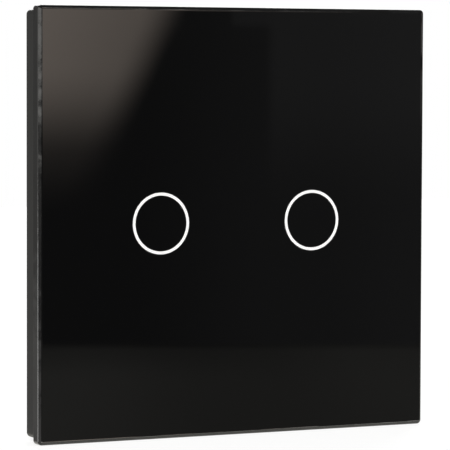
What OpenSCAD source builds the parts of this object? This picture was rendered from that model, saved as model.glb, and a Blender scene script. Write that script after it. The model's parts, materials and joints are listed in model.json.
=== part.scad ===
// Two-gang touch light switch for a square wall box.
// The wall plane is Y = 0, the glass faces -Y, the electronics reach into the wall along +Y.

/* [Glass panel] */
// Width and height of the square glass
panel_size = 86; // [85:0.5:90]
// Thickness of the glass
glass_thickness = 3; // [2.5:0.1:4]
// Bevel round the front edge of the glass
glass_bevel = 0.7; // [0.3:0.1:1]
// Radius of the upright corners of the glass
glass_corner = 0.6; // [0.4:0.1:2]
// Overhang of the glass past the frame behind it, each side
glass_overhang = 0.8; // [0.5:0.1:1.2]
// Distance from the wall to the back of the glass
stand_off = 5.7; // [5.6:0.1:7]
// Thickness of the black print on the back of the glass
print_t = 0.2; // [0.1:0.05:0.3]
// Thickness of the adhesive tape
tape_t = 0.3; // [0.2:0.05:0.4]

/* [Touch rings] */
// Distance between the two ring centres
ring_spacing = 33.7; // [32:0.1:35]
// Outer diameter of a ring
ring_dia = 12.3; // [11.5:0.1:13]
// Width of the ring line
ring_line = 0.6; // [0.4:0.1:1.2]
// Depth of the ring's groove in the glass
ring_depth = 0.3; // [0.2:0.1:0.6]

/* [Cover frame] */
// Wall of the frame's skirt
skirt_wall = 1.6; // [1.4:0.1:1.8]
// Gap between the skirt and the wall
skirt_gap = 0.3; // [0.3:0.1:0.8]
// Width of the border that carries the glass
border_w = 7.2; // [6.5:0.1:7.6]
// Thickness of that border
border_t = 1.6; // [1.2:0.1:1.6]
// Diameter of the four cover pegs
peg_dia = 3; // [2.4:0.1:3.2]
// Width of the pry notch in the bottom of the skirt
notch_w = 8; // [6:0.5:12]

/* [Wall plate] */
// Thickness of the wall plate
plate_t = 2; // [1.8:0.1:2.2]
// Distance between the two fixing screws
fixing_centres = 60.3; // [60:0.1:61]
// Thread diameter of the fixing screws
fixing_thread = 3.5; // [3:0.1:3.7]
// Head diameter of the fixing screws
fixing_head = 7; // [6:0.1:7.2]
// Thread length behind the wall plane
fixing_length = 24; // [15:1:30]

/* [Rear housing] */
// Width of the housing, passes between the box lugs
housing_w = 52; // [51:0.5:53]
// Height of the housing
housing_h = 58; // [57:0.5:62]
// Depth of the housing behind the wall plane
housing_d = 26; // [25.5:0.5:30]
// Wall of the housing
housing_wall = 1.6; // [1.4:0.1:1.8]

/* [Boards] */
// Thickness of both boards
board_t = 1.6; // [1.2:0.1:1.6]
// Front face of the control board behind the wall plane
control_y = 1.8; // [1.6:0.1:2]
// Space between the two boards
board_gap = 2.1; // [2:0.1:2.4]

/* [Touch springs] */
// Outer diameter of a touch spring
spring_dia = 7.8; // [7:0.1:8]
// Wire diameter of a touch spring
spring_wire = 0.6; // [0.4:0.05:0.7]
// Turns of a touch spring
spring_turns = 5; // [4:1:5]

/* [Terminals] */
// Height of the terminal blocks
block_h = 13.8; // [13.4:0.1:14]
// Width of a clamping cage
cage_w = 6.6; // [6:0.1:7]
// Thread diameter of a terminal screw
terminal_thread = 3; // [2.6:0.1:3]
// Head diameter of a terminal screw
terminal_head = 5; // [4.4:0.1:5.2]
// Diameter of a wire entry
wire_hole = 3.2; // [2.6:0.1:3.2]
// Travel of a clamping cage from open to closed
cage_travel = 3; // [2.4:0.1:3]

/* [Relays] */
// Width of a relay case
relay_w = 15.5; // [15:0.1:16]
// Height of a relay case
relay_h = 19; // [18.6:0.1:20]
// Air between the relay cases and the back of the housing
relay_room = 2; // [1:0.1:2.4]
// Distance between the two relay centres
relay_spacing = 22; // [20:0.5:23]
// Height of the relay centres over the switch centre
relay_z = 14.5; // [14:0.1:15]

/* [Fits] */
// Radial clearance of a running fit
fit_gap = 0.05; // [0.02:0.01:0.08]
// Clearance between pieces that move past each other
free_gap = 0.3; // [0.2:0.05:0.35]

/* [Hidden] */
$fn = 48;
sides = [-1, 1];
side_left = -1;
side_right = 1;

// Front to back stations of the cover
back_y = -stand_off;
front_y = back_y - glass_thickness;
print_back = back_y + print_t;
frame_front = print_back + tape_t;
border_back = frame_front + border_t;
frame_size = panel_size - 2 * glass_overhang;
border_open = frame_size - 2 * border_w;
tape_margin = 0.7;
print_margin = 0.5;
ring_r = ring_dia / 2;
ring_x = ring_spacing / 2;

// Wall plate, with a shallow rear recess that takes the housing rim
plate_gap = 0.6;
plate_size = frame_size - 2 * (skirt_wall + plate_gap);
plate_front = -plate_t;
web_back = -0.6;
recess_gap = 0.7;
peg_r = peg_dia / 2;
collar_r = peg_r + 0.8;
peg_at = plate_size / 2 - collar_r - 0.2;
collar_front = border_back + free_gap + 0.1;
peg_end = -0.4;
seat_depth = 1;
seat_y = plate_front + seat_depth;
seat_r = fixing_head / 2 + 0.5;
fixing_x = fixing_centres / 2;
fixing_hole = fixing_thread / 2 + 0.25;
fixing_neck = fixing_thread / 2 - 0.4;
head_seat_gap = 0.1;
fixing_room = 0.6;

// Housing, its corner posts and the posts that carry the boards
inner_w = housing_w - 2 * housing_wall;
inner_h = housing_h - 2 * housing_wall;
inner_back = housing_d - housing_wall;
post_r = 2.4;
post_bite = 0.5;
post_x = inner_w / 2 - post_r + post_bite;
post_z = inner_h / 2 - post_r + post_bite;
housing_screw_r = 1.1;
small_head_r = 2.1;
small_head_h = 1.3;
carrier_r = 2.2;
carrier_x = inner_w / 2 - carrier_r - 0.3;
carrier_z = -10.8;
board_screw_r = 1;

// Boards
board_side_gap = 0.5;
board_w = inner_w - 2 * board_side_gap;
board_h = inner_h - 2 * board_side_gap;
board_notch = 2 * post_r + 0.4;
control_back = control_y + board_t;
power_y = control_back + board_gap;
power_back = power_y + board_t;
housing_screw_end = power_back - 1.6;
board_screw_end = power_back + 5;
header_pins_n = 5;
header_pitch = 2.54;
header_z = -2;
pin_r = 0.32;
lamp_h = 0.6;

// Light guides and touch springs
guide_out = ring_r + 0.25;
guide_in = ring_r - ring_line - 0.25;
guide_front = print_back + free_gap;
guide_back = web_back;
guide_collar = guide_out + 1.1;
spring_mean = (spring_dia - spring_wire) / 2;
spring_front = print_back + free_gap + spring_wire / 2;
spring_back = control_y - spring_wire / 2;
spring_pitch = (spring_back - spring_front) / spring_turns;
spring_steps = 28;
spring_facets = 8;

// Terminal blocks, measured forward from the back of the housing
poles = [0:3];
pole_pitch = housing_w / 4;
block_low = -housing_h / 2;
block_top = block_low + block_h;
head_r = terminal_head / 2;
head_h = 2.2;
head_back = housing_d - 0.2;
head_front = head_back - head_h;
bearing_y = head_front - head_seat_gap;
cavity_back = bearing_y - 1;
cavity_w = cage_w + 0.8;
cavity_low = block_low + 3.4;
cavity_top = block_top - 1.2;
cage_h = 6;
cage_side = 0.9;
cage_nut = 2;
cage_floor = 1;
cage_window = cage_travel + 0.8 + 2 * free_gap;
cage_len = cage_nut + cage_window + cage_floor;
cage_back = cavity_back - free_gap - cage_travel;
cage_front = cage_back - cage_len;
bar_t = 0.8;
bar_back = cage_back - cage_nut - free_gap;
bar_front = bar_back - bar_t;
bar_w = cage_w - 2 * cage_side - 2 * free_gap;
screw_z = (cavity_low + cavity_top) / 2;
terminal_tip = bar_back + 0.6;
wire_y = (cage_front + cage_floor + bar_front) / 2;

// Relay, measured back from the power board
relay_d = inner_back - power_back - relay_room;
relay_wall = 0.8;
relay_base_h = 2;
armature_t = 1;
armature_w = 9.6;
armature_low = relay_d - relay_wall - 2.4 - armature_t;
pole_top = armature_low - 0.5;
coil_top = pole_top - 0.4;
coil_low = relay_base_h + 1.3;
coil_z = -2.2;
coil_r = 4.2;
core_r = 2;
yoke_z = 2.6;
yoke_t = 1.2;
yoke_w = 9;
contact_r = 0.8;
contact_z = -relay_h / 2 + relay_wall + 1.3;
contact_h = 0.5;
contact_gap = 0.7;
fixed_top = armature_low - contact_h - contact_gap;

glass_black = "#101012";
frame_grey = "#363633";
inner_grey = "#4a4a48";
pale_plastic = "#d9d8d2";
board_green = "#1f5a35";
metal = "#b8babc";
brass = "#c7a558";
copper = "#b06a3a";

// Box centred on x and z, from y0 to y1
module slab(x, z, w, h, y0, y1) {
    translate([x - w / 2, y0, z - h / 2]) cube([w, y1 - y0, h]);
}

// Round bar along Y, from y0 to y1
module rod(x, z, r, y0, y1) {
    translate([x, y0, z]) rotate([-90, 0, 0]) cylinder(h = y1 - y0, r = r);
}

// Round tube along Y
module tube(x, z, r_out, r_in, y0, y1) {
    difference() {
        rod(x, z, r_out, y0, y1);
        rod(x, z, r_in, y0 - 1, y1 + 1);
    }
}

// Square picture-frame border
module border(size, open, y0, y1) {
    difference() {
        slab(0, 0, size, size, y0, y1);
        slab(0, 0, open, open, y0 - 1, y1 + 1);
    }
}

function pole_x(i) = (i - 1.5) * pole_pitch;

module glass_panel() {
    flat = panel_size - 2 * glass_corner;
    corner = flat / 2;
    cut = glass_bevel * sqrt(2);
    color(glass_black)
    difference() {
        union() {
            slab(0, 0, panel_size, flat, front_y, back_y);
            slab(0, 0, flat, panel_size, front_y, back_y);
            for (sx = sides, sz = sides) rod(sx * corner, sz * corner, glass_corner, front_y, back_y);
        }
        for (turn = [0:90:270])
            rotate([0, turn, 0])
            translate([panel_size / 2, front_y, 0])
            rotate([0, 0, 45])
            cube([cut, cut, panel_size + 2], center = true);
        for (side = sides)
            tube(side * ring_x, 0, ring_r, ring_r - ring_line, front_y - 1, front_y + ring_depth);
    }
}

// Thin black layer, clear where the light guides stand behind the rings
module back_print() {
    size = panel_size - 2 * print_margin;
    color("#050506")
    difference() {
        slab(0, 0, size, size, back_y, print_back);
        for (side = sides)
            tube(side * ring_x, 0, ring_r, ring_r - ring_line, back_y - 1, print_back + 1);
    }
}

module touch_ring(side) {
    color("white")
    tube(side * ring_x, 0, ring_r, ring_r - ring_line, front_y, front_y + ring_depth);
}

module adhesive_frame() {
    color("#1c1c1c")
    border(frame_size - 2 * tape_margin, border_open + 2 * tape_margin, print_back, frame_front);
}

module cover_frame() {
    notch_d = 1.2;
    color(frame_grey)
    union() {
        border(frame_size, border_open, frame_front, border_back);
        difference() {
            border(frame_size, frame_size - 2 * skirt_wall, border_back, -skirt_gap);
            slab(0, -frame_size / 2, notch_w, 4 * skirt_wall, -skirt_gap - notch_d, 1);
        }
        for (sx = sides, sz = sides) rod(sx * peg_at, sz * peg_at, peg_r, border_back, peg_end);
    }
}

module wall_plate() {
    rim_w = 1.2;
    color(inner_grey)
    difference() {
        union() {
            slab(0, 0, plate_size, plate_size, plate_front, 0);
            border(plate_size, plate_size - 2 * rim_w, collar_front, plate_front);
            for (sx = sides, sz = sides) rod(sx * peg_at, sz * peg_at, collar_r, collar_front, plate_front);
        }
        slab(0, 0, housing_w + 2 * recess_gap, housing_h + 2 * recess_gap, web_back, 1);
        for (sx = sides, sz = sides) {
            rod(sx * peg_at, sz * peg_at, peg_r + fit_gap, collar_front - 1, 1);
            rod(sx * post_x, sz * post_z, housing_screw_r + 0.15, plate_front - 1, 1);
        }
        for (side = sides) {
            rod(side * fixing_x, 0, fixing_hole, plate_front - 1, 1);
            rod(side * fixing_x, 0, seat_r, plate_front - 1, seat_y);
            rod(side * ring_x, 0, guide_out + 0.15, plate_front - 1, 1);
        }
    }
}

// Pan head with a driver slot, a plain neck through the plate and a thread behind the wall plane
module fixing_screw(side) {
    head_h = 2.4;
    slot_w = 1;
    slot_d = 1.2;
    under = seat_y - head_seat_gap;
    color(metal)
    difference() {
        union() {
            rod(side * fixing_x, 0, fixing_head / 2, under - head_h, under);
            rod(side * fixing_x, 0, fixing_neck, under, 0);
            rod(side * fixing_x, 0, fixing_thread / 2, 0, fixing_length);
        }
        slab(side * fixing_x, 0, slot_w, fixing_head + 2, under - head_h - 1, under - head_h + slot_d);
    }
}

// Shallow tray behind the wall plate, with a deep box above the terminal blocks
module rear_housing() {
    box_z = (block_top + housing_h / 2) / 2;
    box_h = housing_h / 2 - block_top;
    color(pale_plastic)
    difference() {
        union() {
            difference() {
                union() {
                    slab(0, 0, housing_w, housing_h, web_back, power_back);
                    slab(0, box_z, housing_w, box_h, web_back, housing_d);
                }
                slab(0, 0, inner_w, inner_h, web_back - 1, power_back);
                slab(0, (block_top - inner_h / 2) / 2, inner_w, block_top + inner_h / 2, 0, power_back + 1);
                slab(0, box_z, inner_w, box_h - 2 * housing_wall, 0, inner_back);
            }
            for (side = sides) {
                rod(side * post_x, post_z, post_r, web_back, inner_back);
                rod(side * post_x, -post_z, post_r, web_back, power_back);
                rod(side * carrier_x, carrier_z, carrier_r, power_back, inner_back);
            }
        }
        for (sx = sides, sz = sides)
            rod(sx * post_x, sz * post_z, housing_screw_r + fit_gap, web_back - 1, housing_screw_end + 0.5);
        for (side = sides) {
            rod(side * carrier_x, carrier_z, board_screw_r + fit_gap, power_back - 1, board_screw_end + 1);
            rod(side * fixing_x, 0, fixing_thread / 2 + fixing_room, web_back - 1, housing_d + 1);
        }
    }
}

// Small pan-head screw with a cross recess, head towards -Y
module small_screw(x, z, seat, end, r) {
    recess_w = 0.6;
    recess_l = 2.4;
    recess_d = 0.7;
    top = seat - small_head_h;
    difference() {
        union() {
            rod(x, z, small_head_r, top, seat);
            rod(x, z, r, seat, end);
        }
        slab(x, z, recess_w, recess_l, top - 1, top + recess_d);
        slab(x, z, recess_l, recess_w, top - 1, top + recess_d);
    }
}

module housing_screws() {
    color(metal)
    for (sx = sides, sz = sides)
        small_screw(sx * post_x, sz * post_z, plate_front, housing_screw_end, housing_screw_r);
}

// Board outline with its corners cut away round the housing posts
module board(y0) {
    difference() {
        slab(0, 0, board_w, board_h, y0, y0 + board_t);
        for (sx = sides, sz = sides)
            slab(sx * board_w / 2, sz * board_h / 2, 2 * board_notch, 2 * board_notch,
                y0 - 1, y0 + board_t + 1);
        for (side = sides)
            rod(side * carrier_x, carrier_z, board_screw_r + 0.1, y0 - 1, y0 + board_t + 1);
        header_holes(y0);
    }
}

function pin_x(i) = (i - (header_pins_n - 1) / 2) * header_pitch;

module header_holes(y0) {
    for (i = [0:header_pins_n - 1])
        rod(pin_x(i), header_z, pin_r + 0.08, y0 - 1, y0 + board_t + 1);
}

module control_board() {
    color(board_green) board(control_y);
}

module power_board() {
    color(board_green) board(power_y);
}

// Round wire wound along Y as one unbroken tube
module touch_spring(side) {
    wire_r = spring_wire / 2;
    last = spring_turns * spring_steps;
    points = [
        for (i = [0:last], j = [0:spring_facets - 1])
            let (turn = 360 * i / spring_steps, around = 360 * j / spring_facets)
            let (reach = spring_mean + wire_r * cos(around))
            [
                reach * cos(turn),
                spring_front + spring_pitch * i / spring_steps + wire_r * sin(around),
                reach * sin(turn)
            ]
    ];
    skin = [
        for (i = [0:last - 1], j = [0:spring_facets - 1])
            let (k = (j + 1) % spring_facets, a = i * spring_facets, b = a + spring_facets)
            [a + j, b + j, b + k, a + k]
    ];
    first_cap = [for (j = [0:spring_facets - 1]) j];
    last_cap = [for (j = [spring_facets - 1:-1:0]) last * spring_facets + j];
    echo(spring_gap = spring_pitch - spring_wire);
    color(brass)
    translate([side * ring_x, 0, 0])
    polyhedron(points, concat(skin, [first_cap, last_cap]), convexity = 10);
}

// Clear tube that carries the lamp light to the ring, with a collar on the front of the plate
module light_guide(side) {
    collar_t = 0.6;
    color("#e8f0f2")
    difference() {
        union() {
            rod(side * ring_x, 0, guide_out, guide_front, guide_back);
            rod(side * ring_x, 0, guide_collar, plate_front - collar_t, plate_front);
        }
        rod(side * ring_x, 0, guide_in, guide_front - 1, guide_back + 1);
    }
}

module indicator_lamps() {
    lamp_w = 1.6;
    lamp_l = 1;
    lamps_per_ring = 3;
    lamp_at = (guide_in + guide_out) / 2;
    color("#f4efc8")
    for (side = sides, i = [1:lamps_per_ring]) {
        turn = 90 * i;
        slab(side * (ring_x + lamp_at * cos(turn)), lamp_at * sin(turn), lamp_w, lamp_l,
            control_y - lamp_h, control_y);
    }
}

module controller_chip() {
    chip_w = 4;
    chip_h = 7;
    chip_z = 8;
    chip_t = 1.3;
    chip_lift = 0.1;
    legs = 5;
    leg_w = 0.4;
    leg_t = 0.4;
    leg_reach = 1.2;
    leg_pitch = 1.27;
    color("#202022")
    union() {
        slab(0, chip_z, chip_w, chip_h, control_y - chip_lift - chip_t, control_y - chip_lift);
        for (side = sides, i = [0:legs - 1])
            slab(side * (chip_w + leg_reach) / 2, chip_z + (i - (legs - 1) / 2) * leg_pitch,
                2 * leg_reach, leg_w, control_y - leg_t, control_y);
    }
}

module header_strip() {
    strip_h = 2.4;
    color("#1a1a1c")
    difference() {
        slab(0, header_z, header_pins_n * header_pitch, strip_h, control_back, power_y);
        for (i = [0:header_pins_n - 1])
            rod(pin_x(i), header_z, pin_r, control_back - 1, power_y + 1);
    }
}

module header_pins() {
    stick_out = 0.8;
    color(brass)
    for (i = [0:header_pins_n - 1])
        rod(pin_x(i), header_z, pin_r, control_y - stick_out, power_back + stick_out);
}

module board_spacers() {
    color(pale_plastic)
    for (side = sides)
        tube(side * carrier_x, carrier_z, board_screw_r + 0.8, board_screw_r + 0.1, control_back, power_y);
}

module board_screws() {
    color(metal)
    for (side = sides)
        small_screw(side * carrier_x, carrier_z, control_y, board_screw_end, board_screw_r);
}

// Cavity open to the power board, with a wire entry below and a screw well at the back
module terminal_block(i) {
    color("#2f6b4a")
    difference() {
        slab(pole_x(i), (block_low + block_top) / 2, pole_pitch, block_h, power_back, housing_d);
        slab(pole_x(i), screw_z, cavity_w, cavity_top - cavity_low, power_back - 1, cavity_back);
        rod(pole_x(i), screw_z, terminal_thread / 2 + free_gap, cavity_back - 1, housing_d + 1);
        rod(pole_x(i), screw_z, head_r + free_gap, bearing_y, housing_d + 1);
        translate([pole_x(i), wire_y, block_low - 1])
        cylinder(h = cavity_low - block_low + 1.5, r = wire_hole / 2);
    }
}

// Flat bars that run through the cages and back to the power board
module terminal_bars() {
    bar_low = screw_z - cage_h / 2 + 0.4;
    bar_top = cavity_top - 0.2;
    color(copper)
    for (i = poles)
        union() {
            slab(pole_x(i), (bar_low + bar_top) / 2, bar_w, bar_top - bar_low, bar_front, bar_back);
            slab(pole_x(i), bar_top - bar_t / 2, bar_w, bar_t, power_back, bar_back);
        }
}

module terminal_screw(i) {
    slot_w = 0.9;
    slot_d = 1;
    color(metal)
    difference() {
        union() {
            rod(pole_x(i), screw_z, head_r, head_front, head_back);
            rod(pole_x(i), screw_z, terminal_thread / 2, terminal_tip, head_front);
        }
        slab(pole_x(i), screw_z, terminal_head + 1, slot_w, head_back - slot_d, head_back + 1);
    }
}

// Clamping cage with a threaded end and a window for the wire and its bar
module terminal_cage(i) {
    color(brass)
    difference() {
        slab(pole_x(i), screw_z, cage_w, cage_h, cage_front, cage_back);
        slab(pole_x(i), screw_z, cage_w - 2 * cage_side, cage_h + 2,
            cage_front + cage_floor, cage_back - cage_nut);
        rod(pole_x(i), screw_z, terminal_thread / 2 + fit_gap, cage_back - cage_nut - 1, cage_back + 1);
    }
}

// Relay pieces are drawn with the power board at y = 0 and the relay centre at x = z = 0
module at_relay(side) {
    translate([side * relay_spacing / 2, power_back, relay_z]) children();
}

module relay_base(side) {
    slip = 0.1;
    color("#24343f")
    at_relay(side)
    slab(0, 0, relay_w - 2 * (relay_wall + slip), relay_h - 2 * (relay_wall + slip), 0, relay_base_h);
}

module relay_case(side) {
    color("#2d5f94")
    at_relay(side)
    difference() {
        slab(0, 0, relay_w, relay_h, 0, relay_d);
        slab(0, 0, relay_w - 2 * relay_wall, relay_h - 2 * relay_wall, -1, relay_d - relay_wall);
    }
}

// Winding on a flanged bobbin
module relay_coil(side) {
    flange_t = 0.6;
    waist_r = coil_r - 0.5;
    bore_r = core_r + 0.1;
    color(copper)
    at_relay(side)
    difference() {
        union() {
            rod(0, coil_z, coil_r, coil_low, coil_low + flange_t);
            rod(0, coil_z, waist_r, coil_low, coil_top);
            rod(0, coil_z, coil_r, coil_top - flange_t, coil_top);
        }
        rod(0, coil_z, bore_r, coil_low - 1, coil_top + 1);
    }
}

// Iron core standing on the foot of an angled yoke
module relay_yoke(side) {
    foot_low = coil_z - core_r - 0.6;
    foot_top = yoke_z + yoke_t;
    color(metal)
    at_relay(side)
    union() {
        rod(0, coil_z, core_r, relay_base_h, pole_top);
        slab(0, (foot_low + foot_top) / 2, yoke_w, foot_top - foot_low, relay_base_h, relay_base_h + yoke_t);
        slab(0, yoke_z + yoke_t / 2, yoke_w, yoke_t, relay_base_h, pole_top);
    }
}

module relay_contact(side) {
    post_t = 0.6;
    post_w = 3;
    button_h = 0.4;
    post_low = contact_z - contact_r - 0.1;
    tab_top = fixed_top - button_h;
    color(brass)
    at_relay(side)
    union() {
        slab(0, post_low + post_t / 2, post_w, post_t, relay_base_h, tab_top);
        slab(0, contact_z, post_w, 2 * contact_r + 0.2, tab_top - post_t, tab_top);
        rod(0, contact_z, contact_r, tab_top, fixed_top);
    }
}

// Plate that rocks on a round rib over the yoke, with the moving contact at its free end
module relay_armature(side) {
    rib_r = 0.3;
    rib_drop = 0.1;
    rib_len = armature_w - 1;
    armature_end = contact_z - contact_r - 0.1;
    armature_heel = yoke_z + yoke_t + 0.6;
    color(metal)
    at_relay(side)
    union() {
        slab(0, (armature_end + armature_heel) / 2, armature_w, armature_heel - armature_end,
            armature_low, armature_low + armature_t);
        rod(0, contact_z, contact_r, armature_low - contact_h, armature_low);
        translate([-rib_len / 2, armature_low - rib_drop, yoke_z + yoke_t / 2])
        rotate([0, 90, 0])
        cylinder(h = rib_len, r = rib_r);
    }
}

// Small tubular fuse lying on the power board
module fuse() {
    fuse_r = 1.5;
    cap_r = 1.7;
    fuse_len = 10;
    cap_len = 2.2;
    fuse_x = -10;
    fuse_z = 1;
    color("#d8dcd6")
    translate([fuse_x - fuse_len / 2, power_back + cap_r, fuse_z])
    rotate([0, 90, 0])
    union() {
        cylinder(h = fuse_len, r = fuse_r);
        for (at = [0, fuse_len - cap_len]) translate([0, 0, at]) cylinder(h = cap_len, r = cap_r);
    }
}

module film_capacitor() {
    film_x = -10.5;
    film_z = -6.5;
    film_w = 13;
    film_h = 6;
    film_d = 11;
    color("#b8862b")
    slab(film_x, film_z, film_w, film_h, power_back, power_back + film_d);
}

module electrolytic_capacitor() {
    can_x = 12;
    can_z = -7;
    can_r = 4;
    can_len = 13;
    groove_at = power_back + 1.6;
    color("#22252e")
    difference() {
        rod(can_x, can_z, can_r, power_back, power_back + can_len);
        tube(can_x, can_z, can_r + 1, can_r - 0.3, groove_at, groove_at + 0.8);
    }
}

module rectifier() {
    bridge_x = 2;
    bridge_z = -7.5;
    bridge_w = 6.4;
    bridge_h = 5;
    bridge_d = 2.6;
    color("#202022")
    slab(bridge_x, bridge_z, bridge_w, bridge_h, power_back, power_back + bridge_d);
}

glass_panel();
back_print();
touch_ring(side_left);  // touch_ring_left
touch_ring(side_right);  // touch_ring_right
adhesive_frame();
cover_frame();
wall_plate();
fixing_screw(side_left);  // fixing_screw_left
fixing_screw(side_right);  // fixing_screw_right
rear_housing();
housing_screws();
control_board();
touch_spring(side_left);  // touch_spring_left
touch_spring(side_right);  // touch_spring_right
light_guide(side_left);  // light_guide_left
light_guide(side_right);  // light_guide_right
indicator_lamps();
controller_chip();
header_strip();
header_pins();
power_board();
board_spacers();
board_screws();
terminal_bars();
terminal_block(0);  // terminal_block_1
terminal_block(1);  // terminal_block_2
terminal_block(2);  // terminal_block_3
terminal_block(3);  // terminal_block_4
terminal_screw(0);  // terminal_screw_1
terminal_screw(1);  // terminal_screw_2
terminal_screw(2);  // terminal_screw_3
terminal_screw(3);  // terminal_screw_4
terminal_cage(0);  // terminal_cage_1
terminal_cage(1);  // terminal_cage_2
terminal_cage(2);  // terminal_cage_3
terminal_cage(3);  // terminal_cage_4
relay_base(side_left);  // relay_base_left
relay_base(side_right);  // relay_base_right
relay_case(side_left);  // relay_case_left
relay_case(side_right);  // relay_case_right
relay_coil(side_left);  // relay_coil_left
relay_coil(side_right);  // relay_coil_right
relay_yoke(side_left);  // relay_yoke_left
relay_yoke(side_right);  // relay_yoke_right
relay_contact(side_left);  // relay_contact_left
relay_contact(side_right);  // relay_contact_right
relay_armature(side_left);  // relay_armature_left
relay_armature(side_right);  // relay_armature_right
fuse();
film_capacitor();
electrolytic_capacitor();
rectifier();
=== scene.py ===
import json
import math
import bmesh
import bpy
from mathutils import Matrix, Vector


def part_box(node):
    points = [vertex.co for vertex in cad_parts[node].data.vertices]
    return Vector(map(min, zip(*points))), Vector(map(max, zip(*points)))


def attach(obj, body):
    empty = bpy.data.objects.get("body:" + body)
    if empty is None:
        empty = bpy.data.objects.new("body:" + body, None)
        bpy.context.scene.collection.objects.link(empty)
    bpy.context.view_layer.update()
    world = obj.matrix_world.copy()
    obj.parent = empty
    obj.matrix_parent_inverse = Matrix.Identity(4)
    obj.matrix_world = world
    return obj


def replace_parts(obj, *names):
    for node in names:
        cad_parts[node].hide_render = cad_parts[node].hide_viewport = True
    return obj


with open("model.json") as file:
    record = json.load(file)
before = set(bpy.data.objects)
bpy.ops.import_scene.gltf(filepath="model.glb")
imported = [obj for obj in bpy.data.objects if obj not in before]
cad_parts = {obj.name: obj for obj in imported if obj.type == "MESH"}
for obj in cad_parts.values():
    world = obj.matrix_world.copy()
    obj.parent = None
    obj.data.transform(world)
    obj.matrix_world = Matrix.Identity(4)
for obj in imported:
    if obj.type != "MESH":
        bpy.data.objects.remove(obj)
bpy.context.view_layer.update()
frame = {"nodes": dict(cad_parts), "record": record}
nodes = frame["nodes"]
bodyOf = {node: body for body, held in frame["record"]["behaviour"]["bodies"].items() for node in held}
mm = 0.001
sides = ("left", "right")
poles = range(1, 5)  # the terminals' numbers
white = (1.0, 1.0, 1.0)
print("frame loaded,", len(nodes), "nodes")


class Reading:  # one socket, so that node maths can be written as sums
    def __init__(self, sheet, socket):
        self.sheet = sheet
        self.socket = socket

    def work(self, operation, first, second=0.0):
        return self.sheet.add("ShaderNodeMath", {"operation": operation}, {0: first, 1: second})

    def __add__(self, other):
        return self.work("ADD", self, other)

    def __radd__(self, other):
        return self.work("ADD", other, self)

    def __sub__(self, other):
        return self.work("SUBTRACT", self, other)

    def __rsub__(self, other):
        return self.work("SUBTRACT", other, self)

    def __mul__(self, other):
        return self.work("MULTIPLY", self, other)

    def __rmul__(self, other):
        return self.work("MULTIPLY", other, self)

    def __truediv__(self, other):
        return self.work("DIVIDE", self, other)

    def __rtruediv__(self, other):
        return self.work("DIVIDE", other, self)

    def __pow__(self, other):
        return self.work("POWER", self, other)

    def __rpow__(self, other):
        return self.work("POWER", other, self)

    def __abs__(self):
        return self.work("ABSOLUTE", self)

    def most(self, other):
        return self.work("MAXIMUM", self, other)

    def part(self):  # what is left after the whole number
        return self.work("FRACT", self)

    def rise(self, low, high):  # 0 below low, 1 above high, eased between
        return self.sheet.add("ShaderNodeMapRange", {"interpolation_type": "SMOOTHSTEP"},
                              {0: self, 1: low, 2: high})

    def riseMm(self, low, high):  # the same for a place, with both ends in millimetres
        return self.rise(low * mm, high * mm)

    def axes(self):
        split = self.sheet.add("ShaderNodeSeparateXYZ", None, {0: self}).socket.node
        return [Reading(self.sheet, split.outputs[i]) for i in range(3)]


class NodeSheet:  # any node tree, shader or geometry
    def __init__(self, tree):
        self.tree = tree

    def add(self, nodeType, settings=None, sockets=None, out=0):
        made = self.tree.nodes.new(nodeType)
        for name, value in (settings or {}).items():
            setattr(made, name, value)
        for key, value in (sockets or {}).items():
            if isinstance(value, Reading):
                self.tree.links.new(value.socket, made.inputs[key])
            else:
                made.inputs[key].default_value = value
        return Reading(self, made.outputs[out]) if made.outputs else None

    def given(self, name):  # an input of a geometry tree
        return self.add("NodeGroupInput", out=name)

    def place(self):
        return self.add("ShaderNodeTexCoord", out="Object")

    def ray(self, kind):  # 1 for rays of that kind
        return self.add("ShaderNodeLightPath", out=f"Is {kind} Ray")

    def noise(self, vector, sizeMm, detail=2.0, rough=0.5):
        return self.add("ShaderNodeTexNoise", None,
                        {"Vector": vector, "Scale": 1 / (sizeMm * mm), "Detail": detail, "Roughness": rough})

    def stretch(self, vector, scale):
        return self.add("ShaderNodeMapping", None, {"Vector": vector, "Scale": scale})

    def mix(self, amount, *colours):  # two colours, each a reading or three numbers
        first, second = [tone if isinstance(tone, Reading) else (*tone, 1.0) for tone in colours]
        return self.add("ShaderNodeMix", {"data_type": "RGBA"}, {0: amount, 6: first, 7: second}, 2)

    def relief(self, height, depthMm, strength=1.0):
        return self.add("ShaderNodeBump", None,
                        {"Height": height, "Distance": depthMm * mm, "Strength": strength})


def startFinish(name):
    finish = bpy.data.materials.new(name)
    finish.use_nodes = True
    finish.node_tree.nodes.clear()
    return finish, NodeSheet(finish.node_tree)


def endFinish(sheet, sockets):
    shader = sheet.add("ShaderNodeBsdfPrincipled", None, sockets)
    sheet.add("ShaderNodeOutputMaterial", None, {"Surface": shader})


# black panel glass: polished face, finely ground edge
panelGlassLook = {"face": (0.0016, 0.0016, 0.0017), "edge": (0.004, 0.004, 0.0042), "ior": 1.5,
                  "polish": 0.015, "smear": 0.02, "smearMm": 14.0, "smearRise": (0.45, 0.75),
                  "ground": 0.14, "groundInMm": (0.8, 0.6), "wheelMm": 0.35, "wheelDepthMm": 0.004,
                  "waveMm": 6.0, "waveDepthMm": 0.12}


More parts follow.
